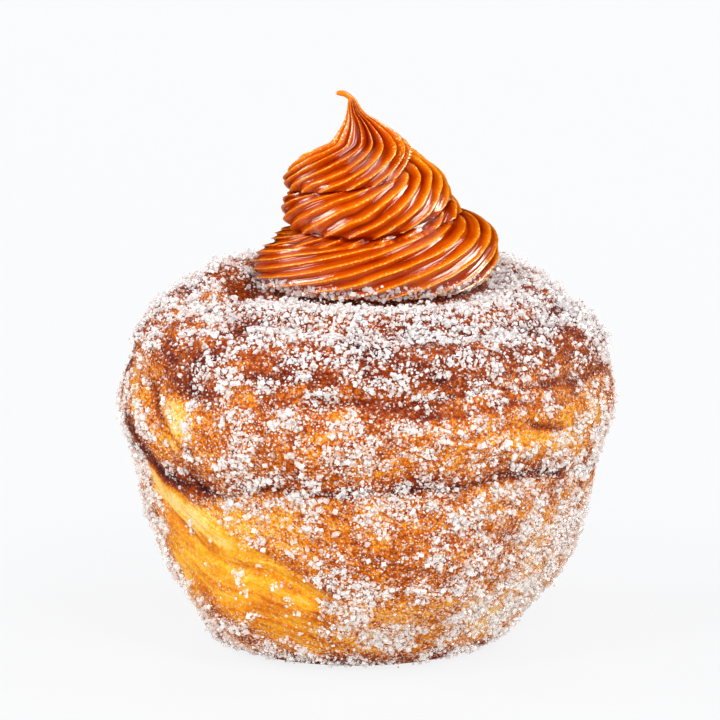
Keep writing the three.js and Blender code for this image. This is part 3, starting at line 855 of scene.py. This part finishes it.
def sugar_pieces(pastry, skin, points, swirl_points):
    rng = np.random.default_rng(SUGAR_SEED)
    quads = grid_faces(COLUMNS, ROWS)
    areas = open_areas(points, quads)
    clump, coat = (data[quads].mean(axis=1) for data in (skin.clump, skin.coat))
    values = np.stack([skin.tone, skin.clump], -1)
    normals = point_normals(pastry, len(points))
    swirl_foot = swirl_foot_surface(swirl_points)
    pieces = []
    for sugar in SUGARS:
        in_clumps, in_coat = sugar[5:7]
        pastry_top = (points, normals, values, quads, areas * (in_clumps * clump + in_coat * coat))
        pieces.append(sugar_piece(rng, sugar, pastry_top, swirl_foot))
    return pieces


# Materials
def srgb(*levels):
    """Linear colour from levels between 0 and 255."""
    shares = [level / 255 for level in levels]
    return (*(c / 12.92 if c <= 0.04045 else ((c + 0.055) / 1.055) ** 2.4 for c in shares), 1)


CRUST_STOPS = [
    (0.0, srgb(255, 222, 138)), (0.16, srgb(255, 182, 38)), (0.34, srgb(226, 128, 14)),
    (0.52, srgb(174, 76, 7)), (0.7, srgb(128, 42, 4)), (0.86, srgb(100, 26, 6)), (1.0, srgb(68, 17, 16)),
]
CARAMEL_STOPS = [
    (0.0, srgb(118, 16, 0)), (0.3, srgb(160, 44, 0)), (0.6, srgb(196, 78, 0)), (0.85, srgb(220, 108, 2)),
    (1.0, srgb(236, 134, 8)),
]
# Painted glints: golden specks along the caramel's crests
PAINTED_GLINT_STOPS = [(0.79, (0, 0, 0, 1)), (0.9, (0.8, 0.8, 0.8, 1))]
VEIL_STOPS = [(0.3, (0.9, 0.9, 0.9, 1)), (0.6, (1, 1, 1, 1))]
FLOOR_STOPS = [(0, (0.06, 0.06, 0.061, 1)), (1, (0.064, 0.064, 0.065, 1))]
FROST_COLOUR, PAINTED_GLINT_COLOUR = (0.95, 0.82, 0.68, 1), srgb(255, 204, 112)
# Scale, detail and roughness of the noise textures
SPECKLE, PATCH, LAYER_STREAK = (1700, 4, 0.8), (210, 5, 0.65), (1.0, 5, 0.6)
BLOTCH, GRAIN, PAINTED_GLINT_NOISE = (260, 4, 0.6), (3200, 3, 0.6), (2300, 2, 0.6)
SUGAR_CLOUD, FLOOR_CLOUD = (1600, 2, 0.5), (3, 2, 0.5)
# Crust: stretch of its layers, shares of each texture in its tone, and its frost
LAYER_ACROSS, LAYER_ALONG = 0.9, 0.09
STREAK_TONE, SOFT_TONE, PATCH_TONE, SPECKLE_TONE, TONE_SHIFT = 0.5, 0.5, 0.6, 1.5, 1.24
FROST_CELLS, FROST_EDGE, FROST_ROUND, FROST_FULL = 3600, 6.0, -1.7, 1.75
FROST_THIN, FROST_VARIES = 0.3, 0.6
CRUST_ROUGH, ROUGH_PATCH, CRUST_BUMP, CRUST_RELIEF = 0.3, 0.4, 0.8, 0.0006
STREAK_BUMP, FROST_BUMP = 1.2, 1.2
# Caramel: shares of each value in its colour, with painted shade in its valleys and creases, painted glints
# along its crests, and its shine
BLOTCH_LEVEL, CREASE_SHADE_LEVEL, STREAK_SHADE, LEVEL_SHIFT = 0.5, -0.75, 0.22, 0.08
PAINTED_GLINT_CREST = 0.3
CARAMEL_ROUGH, BLOTCH_ROUGH, STREAK_ROUGH = 0.03, 0.12, 0.06
BLOTCH_BUMP, CARAMEL_BUMP, CARAMEL_RELIEF = 0.8, 0.5, 0.00012
CLOUD_ROUGH = 0.2


def crust_colour(tone):
    at = [stop for stop, _ in CRUST_STOPS]
    return np.stack([np.interp(tone, at, [colour[k] for _, colour in CRUST_STOPS]) for k in range(3)], -1)


class Paint:
    """A new material, with short ways to add nodes to it and to set its shader."""

    def __init__(self, name):
        self.material = bpy.data.materials.new(name)
        self.material.use_nodes = True
        self.nodes = self.material.node_tree.nodes
        self.links = self.material.node_tree.links
        self.shader = self.nodes["Principled BSDF"]
        self.where = self.add("TexCoord").outputs["Object"]

    def feed(self, node, inputs):
        for key, value in inputs.items():
            if isinstance(value, bpy.types.NodeSocket):
                self.links.new(value, node.inputs[key])
            else:
                node.inputs[key].default_value = value

    def add(self, kind, inputs=None, **settings):
        node = self.nodes.new("ShaderNode" + kind)
        for key, value in settings.items():
            setattr(node, key, value)
        self.feed(node, inputs or {})
        return node

    def value(self, name):
        return self.add("Attribute", attribute_name=name).outputs["Fac"]

    def math(self, operation, *values):
        return self.add("Math", dict(enumerate(values)), operation=operation).outputs[0]

    def sum(self, value, share, rest):
        return self.math("MULTIPLY_ADD", value, share, rest)

    def noise(self, kind, where=None):
        scale, detail, roughness = kind
        inputs = {"Vector": where or self.where, "Scale": scale, "Detail": detail, "Roughness": roughness}
        return self.add("TexNoise", inputs).outputs["Fac"]

    def ramp(self, factor, stops):
        node = self.add("ValToRGB", {"Fac": factor})
        elements = node.color_ramp.elements
        while len(elements) < len(stops):
            elements.new(0.5)
        for element, (at, colour) in zip(elements, stops):
            element.position = at
            element.color = colour
        return node.outputs["Color"]

    def mix(self, factor, first, second, blend="MIX"):
        inputs = {0: factor, 6: first, 7: second}
        return self.add("Mix", inputs, data_type="RGBA", blend_type=blend).outputs[2]

    def bump(self, strength, depth, heights):
        inputs = {"Strength": strength, "Distance": depth, "Height": heights}
        return self.add("Bump", inputs).outputs["Normal"]

    def finish(self, inputs):
        self.feed(self.shader, inputs)
        return self.material


def frost_cover(paint):
    """Finest grains of sugar, as cells that are there by chance where the frost is thick."""
    cells = paint.add("TexVoronoi", {"Vector": paint.where, "Scale": FROST_CELLS, "Randomness": 1})
    chance = paint.add("SeparateColor", {0: cells.outputs["Color"]})
    present = paint.math("SUBTRACT", paint.value("frost"), chance.outputs[0])
    present = paint.sum(present, FROST_EDGE, 0.5)
    round_off = paint.sum(cells.outputs["Distance"], FROST_ROUND, FROST_FULL)
    cover = paint.add("Clamp", {0: paint.math("MULTIPLY", present, round_off)}).outputs[0]
    return paint.math("MULTIPLY", cover, paint.sum(chance.outputs[1], FROST_VARIES, FROST_THIN))


def layer_streaks(paint):
    across = paint.math("MULTIPLY", paint.value("layer"), LAYER_ACROSS)
    along = paint.math("MULTIPLY", paint.value("along"), LAYER_ALONG)
    return paint.noise(LAYER_STREAK, paint.add("CombineXYZ", {0: across, 1: along}).outputs[0])


def crust_material():
    paint = Paint("baked_crust")
    speckle, patch, streak = paint.noise(SPECKLE), paint.noise(PATCH), layer_streaks(paint)
    soft, cover = paint.value("soft"), frost_cover(paint)
    tone = paint.sum(streak, STREAK_TONE, paint.value("tone"))
    tone = paint.sum(soft, SOFT_TONE, tone)
    tone = paint.sum(speckle, paint.math("SUBTRACT", SPECKLE_TONE, soft), tone)
    tone = paint.sum(patch, PATCH_TONE, tone)
    colour = paint.ramp(paint.math("SUBTRACT", tone, TONE_SHIFT), CRUST_STOPS)
    heights = paint.sum(cover, FROST_BUMP, paint.sum(streak, STREAK_BUMP, speckle))
    return paint.finish({
        "Base Color": paint.mix(cover, colour, FROST_COLOUR),
        "Roughness": paint.sum(patch, ROUGH_PATCH, CRUST_ROUGH),
        "Normal": paint.bump(CRUST_BUMP, CRUST_RELIEF, heights),
        "Specular IOR Level": 0.15,
    })


def caramel_material():
    paint = Paint("caramel_cream")
    blotch, crest, streak = paint.noise(BLOTCH), paint.value("crest"), paint.value("streak")
    # Paler crests and darker valleys between the ridges: painted shade
    level = paint.math("SUBTRACT", paint.sum(blotch, BLOTCH_LEVEL, crest), LEVEL_SHIFT)
    # Painted shade in the crease between rope turns
    level = paint.sum(paint.value("crease_shade_and_peak_tone"), CREASE_SHADE_LEVEL, level)
    level = paint.sum(streak, STREAK_SHADE, level)
    colour = paint.ramp(level, CARAMEL_STOPS)
    # Painted glints along the crests
    painted_glints = paint.ramp(paint.sum(crest, PAINTED_GLINT_CREST, paint.noise(PAINTED_GLINT_NOISE)), PAINTED_GLINT_STOPS)
    rough = paint.sum(streak, STREAK_ROUGH, paint.sum(blotch, BLOTCH_ROUGH, CARAMEL_ROUGH))
    heights = paint.sum(blotch, BLOTCH_BUMP, paint.noise(GRAIN))
    return paint.finish({
        "Base Color": paint.mix(painted_glints, colour, PAINTED_GLINT_COLOUR),
        "Roughness": rough,
        "Normal": paint.bump(CARAMEL_BUMP, CARAMEL_RELIEF, heights),
        "Subsurface Weight": 0.25,
        "Subsurface Radius": (1.0, 0.35, 0.1),
        "Subsurface Scale": 0.0015,
        "Specular IOR Level": 1.0,
        "Specular Tint": (1.0, 0.93, 0.78, 1),
        "IOR": 1.6,
    })


def sugar_material(name, opacity, roughness):
    paint = Paint(name)
    tint = paint.add("Attribute", attribute_name="tint").outputs["Color"]
    cloud = paint.noise(SUGAR_CLOUD)
    return paint.finish({
        "Base Color": paint.mix(1.0, tint, paint.ramp(cloud, VEIL_STOPS), "MULTIPLY"),
        "Roughness": paint.sum(cloud, CLOUD_ROUGH, roughness),
        "Alpha": opacity,
        "IOR": 1.5,
    })


def floor_material():
    paint = Paint("pale_floor")
    return paint.finish({
        "Base Color": paint.ramp(paint.noise(FLOOR_CLOUD), FLOOR_STOPS),
        "Roughness": 0.9,
        "Specular IOR Level": 0.1,
        "Emission Color": (0.985, 0.99, 1.0, 1),
        "Emission Strength": 0.865,
    })


# Pieces
END_TONE, SEAT_VALUE, ALONG_RADIUS = 0.6, 0.3, 34


def pastry_piece(skin, points):
    middle_points = (0, 0, 0.0), (0, 0, SEAT_HEIGHT)
    closed_points, faces = closed_grid(points, COLUMNS, ROWS, *middle_points)
    along = skin.angle * ALONG_RADIUS
    values = {"layer": skin.layer, "along": along, "frost": skin.frost, "soft": skin.soft}
    values = {key: padded(data, 0, 0) for key, data in values.items()}
    values["tone"] = padded(skin.tone, END_TONE, END_TONE)
    return mesh_piece("pastry_skin", closed_points, faces, crust_material(), True, values)


def swirl_piece(points, values):
    middle_points = (SWIRL_MIDDLE, 0, SWIRL_FOOT), SWIRL_END
    closed_points, faces = closed_grid(points, SWIRL_COLUMNS, SWIRL_ROWS, *middle_points)
    values = {key: padded(data, SEAT_VALUE, data[-1]) for key, data in values.items()}
    return mesh_piece("swirl_skin", closed_points, faces, caramel_material(), True, values)


skin, skin_points = pastry_surface()
swirl_points, swirl_values = swirl_surface()
pastry = pastry_piece(skin, skin_points)
swirl = swirl_piece(swirl_points, swirl_values)
pieces = sugar_pieces(pastry, skin, skin_points, swirl_points)

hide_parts("pastry")
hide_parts("caramel_swirl")
for piece in [pastry, swirl, *pieces]:
    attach(piece, BODY)

# Floor in millimetres, lights in degrees and camera in metres
FLOOR_REACH = 6000
WORLD_COLOUR, WORLD_LIGHT = (0.97, 0.98, 1.0, 1), 0.3
# Azimuth, elevation, width and strength of the lights that colour and of those that only shine
LIGHTS = {
    "key": (32, 44, 24, 1.56), "fill": (-46, 40, 20, 1.45), "low": (2, 6, 40, 2.4),
    "top": (10, 68, 16, 0.3), "right": (95, 48, 16, 0.42), "left": (-95, 36, 16, 0.95),
    "back": (178, 9, 40, 1.7),
}
SHINES = {
    "shine_right": (92, 26, 30, 3.6), "shine_front": (50, 38, 24, 1.8), "shine_left": (-88, 24, 32, 3.3),
}
CAMERA_LENS, CAMERA_SENSOR = 225, 36
CAMERA_AWAY, CAMERA_RISE, CAMERA_SIDE, CAMERA_AIM = 0.7, math.radians(10.5), -0.0011, 0.044


def floor_piece():
    corners = FLOOR_REACH * np.array([(-1, -1, 0), (1, -1, 0), (1, 1, 0), (-1, 1, 0)])
    return mesh_piece("floor", corners, [(0, 1, 2, 3)], floor_material(), False, {})


def light_world(scene):
    world = bpy.data.worlds.new("studio") if scene.world is None else scene.world
    scene.world = world
    world.use_nodes = True
    background = world.node_tree.nodes["Background"]
    background.inputs["Color"].default_value = WORLD_COLOUR
    background.inputs["Strength"].default_value = WORLD_LIGHT
    world.cycles_visibility.glossy = False


def soft_light(name, azimuth, elevation, width, strength):
    """Distant soft light, as wide as so many degrees, azimuth from the front to the right."""
    lamp = bpy.data.lights.new(name, "SUN")
    lamp.angle = math.radians(width)
    lamp.energy = strength
    light = bpy.data.objects.new(name, lamp)
    light.rotation_euler = (math.radians(90 - elevation), 0, math.radians(azimuth))
    bpy.context.collection.objects.link(light)
    return light


def add_camera(scene):
    lens = bpy.data.cameras.new("camera")
    lens.lens = CAMERA_LENS
    lens.sensor_width = CAMERA_SENSOR
    camera = bpy.data.objects.new("camera", lens)
    back, rise = CAMERA_AWAY * math.cos(CAMERA_RISE), CAMERA_AWAY * math.sin(CAMERA_RISE)
    camera.location = (CAMERA_SIDE, -back, CAMERA_AIM + rise)
    camera.rotation_euler = (math.radians(90) - CAMERA_RISE, 0, 0)
    bpy.context.collection.objects.link(camera)
    scene.camera = camera


floor = floor_piece()
floor.visible_glossy = False
light_world(bpy.context.scene)
for name, placing in LIGHTS.items():
    soft_light(name, *placing).visible_glossy = False
for name, placing in SHINES.items():
    soft_light(name, *placing).visible_diffuse = False
add_camera(bpy.context.scene)
bpy.context.scene.view_settings.view_transform = "Standard"
